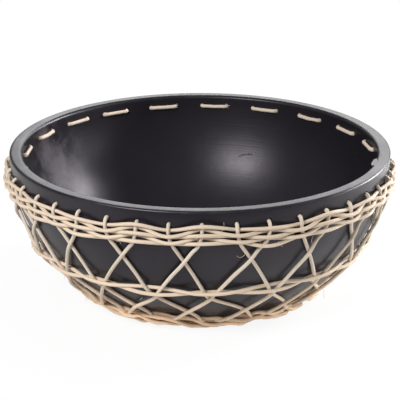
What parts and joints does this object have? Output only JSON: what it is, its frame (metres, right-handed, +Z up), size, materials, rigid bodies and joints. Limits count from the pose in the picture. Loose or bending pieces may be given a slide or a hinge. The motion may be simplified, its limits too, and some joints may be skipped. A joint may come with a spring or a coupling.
{
  "type": "woven fruit basket",
  "caption": "Round black pottery fruit bowl in an open jacket of natural rattan cane, laced through holes under the rim, with a woven band and twined rings.",
  "frame": {"origin": "on the table, at the middle of the flat foot", "axes": "+Z up through the bowl's axis; -Y is the front, where a lacing hole lies; +X to the right"},
  "size_m": [0.3158, 0.3158, 0.116],
  "materials": {
    "pottery": "black stained low-fired pottery, waxed to a soft satin",
    "stake_cane": "natural peeled rattan core, dry and matte",
    "weaver_cane": "natural peeled rattan core, dry and matte",
    "foot_cane": "natural peeled rattan core, darker and browner"
  },
  "bodies": {
    "root": {"bowl": "pottery", "stake_01": "stake_cane", "stake_02": "stake_cane", "stake_03": "stake_cane", "stake_04": "stake_cane", "stake_05": "stake_cane", "stake_06": "stake_cane", "stake_07": "stake_cane", "stake_08": "stake_cane", "stake_09": "stake_cane", "stake_10": "stake_cane", "stake_11": "stake_cane", "stake_12": "stake_cane", "stake_13": "stake_cane", "stake_14": "stake_cane", "stake_15": "stake_cane", "stake_16": "stake_cane", "stake_17": "stake_cane", "stake_18": "stake_cane", "stake_19": "stake_cane", "stake_20": "stake_cane", "band_weaver_1": "weaver_cane", "band_weaver_2": "weaver_cane", "band_weaver_3": "weaver_cane", "band_weaver_4": "weaver_cane", "band_weaver_5": "weaver_cane", "ring_weaver_1": "weaver_cane", "ring_weaver_2": "weaver_cane", "foot_weaver_1": "foot_cane", "foot_weaver_2": "foot_cane"}
  },
  "joints": []
}
